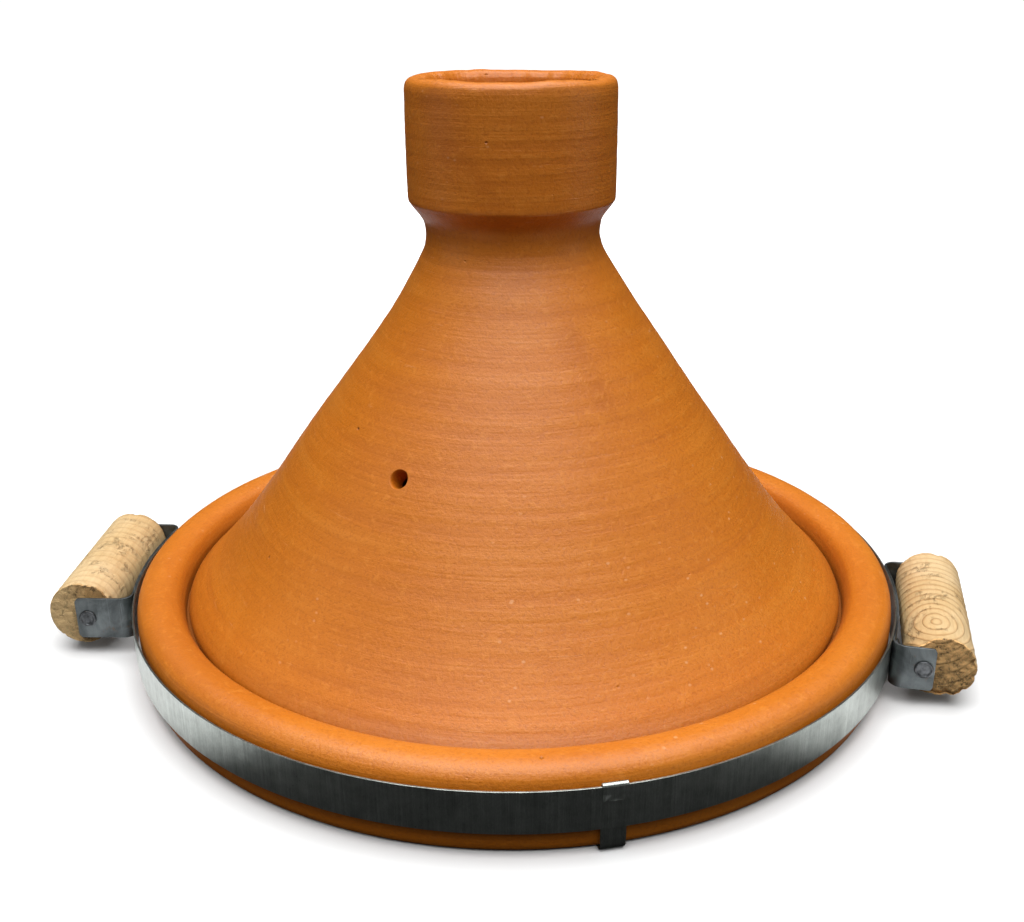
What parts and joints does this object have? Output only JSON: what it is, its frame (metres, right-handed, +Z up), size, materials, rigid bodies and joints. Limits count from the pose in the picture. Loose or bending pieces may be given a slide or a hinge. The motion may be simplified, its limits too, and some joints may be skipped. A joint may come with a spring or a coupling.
{
  "type": "tagine pot",
  "caption": "Unglazed clay tagine: shallow dish in a steel hoop with wooden grips, under a tall cone lid with a hollow knob that lifts off for serving slow-cooked food.",
  "frame": {"origin": "Centre of the underside, on the table under the middle of the dish.", "axes": "+Z up the axis of the cone lid; X from the left handle to the right handle, which is +X; -Y is the front, where the steam hole and the strap's end show."},
  "size_m": [0.3813, 0.318, 0.2266],
  "materials": {
    "terracotta": "unglazed, matte with a soft sheen",
    "galvanised_strip": "galvanised, fine scratches",
    "bracket_steel": "dull dark",
    "fastener_steel": "dull",
    "pine": "raw, sanded"
  },
  "bodies": {
    "dish": {"base_dish": "terracotta", "hoop_band": "galvanised_strip", "hoop_rivets": "fastener_steel", "under_strap": "galvanised_strip", "bracket_left": "bracket_steel", "bracket_right": "bracket_steel", "rivets_left": "fastener_steel", "rivets_right": "fastener_steel"},
    "lid": {"lid": "terracotta"},
    "grip_left": {"grip_left": "pine", "nails_left": "fastener_steel"},
    "grip_right": {"grip_right": "pine", "nails_right": "fastener_steel"}
  },
  "joints": [
    {"name": "lid_lift", "type": "slide", "parent": "dish", "child": "lid", "axis": [0, 0, 1], "range_m": [0, 0.22]},
    {"name": "grip_left_turn", "type": "hinge", "parent": "dish", "child": "grip_left", "pos_m": [-0.17245, -0.01813, 0.0172], "axis": [0.1045, -0.9945, 0], "range_deg": [-65, 120]},
    {"name": "grip_right_turn", "type": "hinge", "parent": "dish", "child": "grip_right", "pos_m": [0.16589, -0.01744, 0.0172], "axis": [0.1045, 0.9945, 0], "range_deg": [-16, 32]}
  ]
}
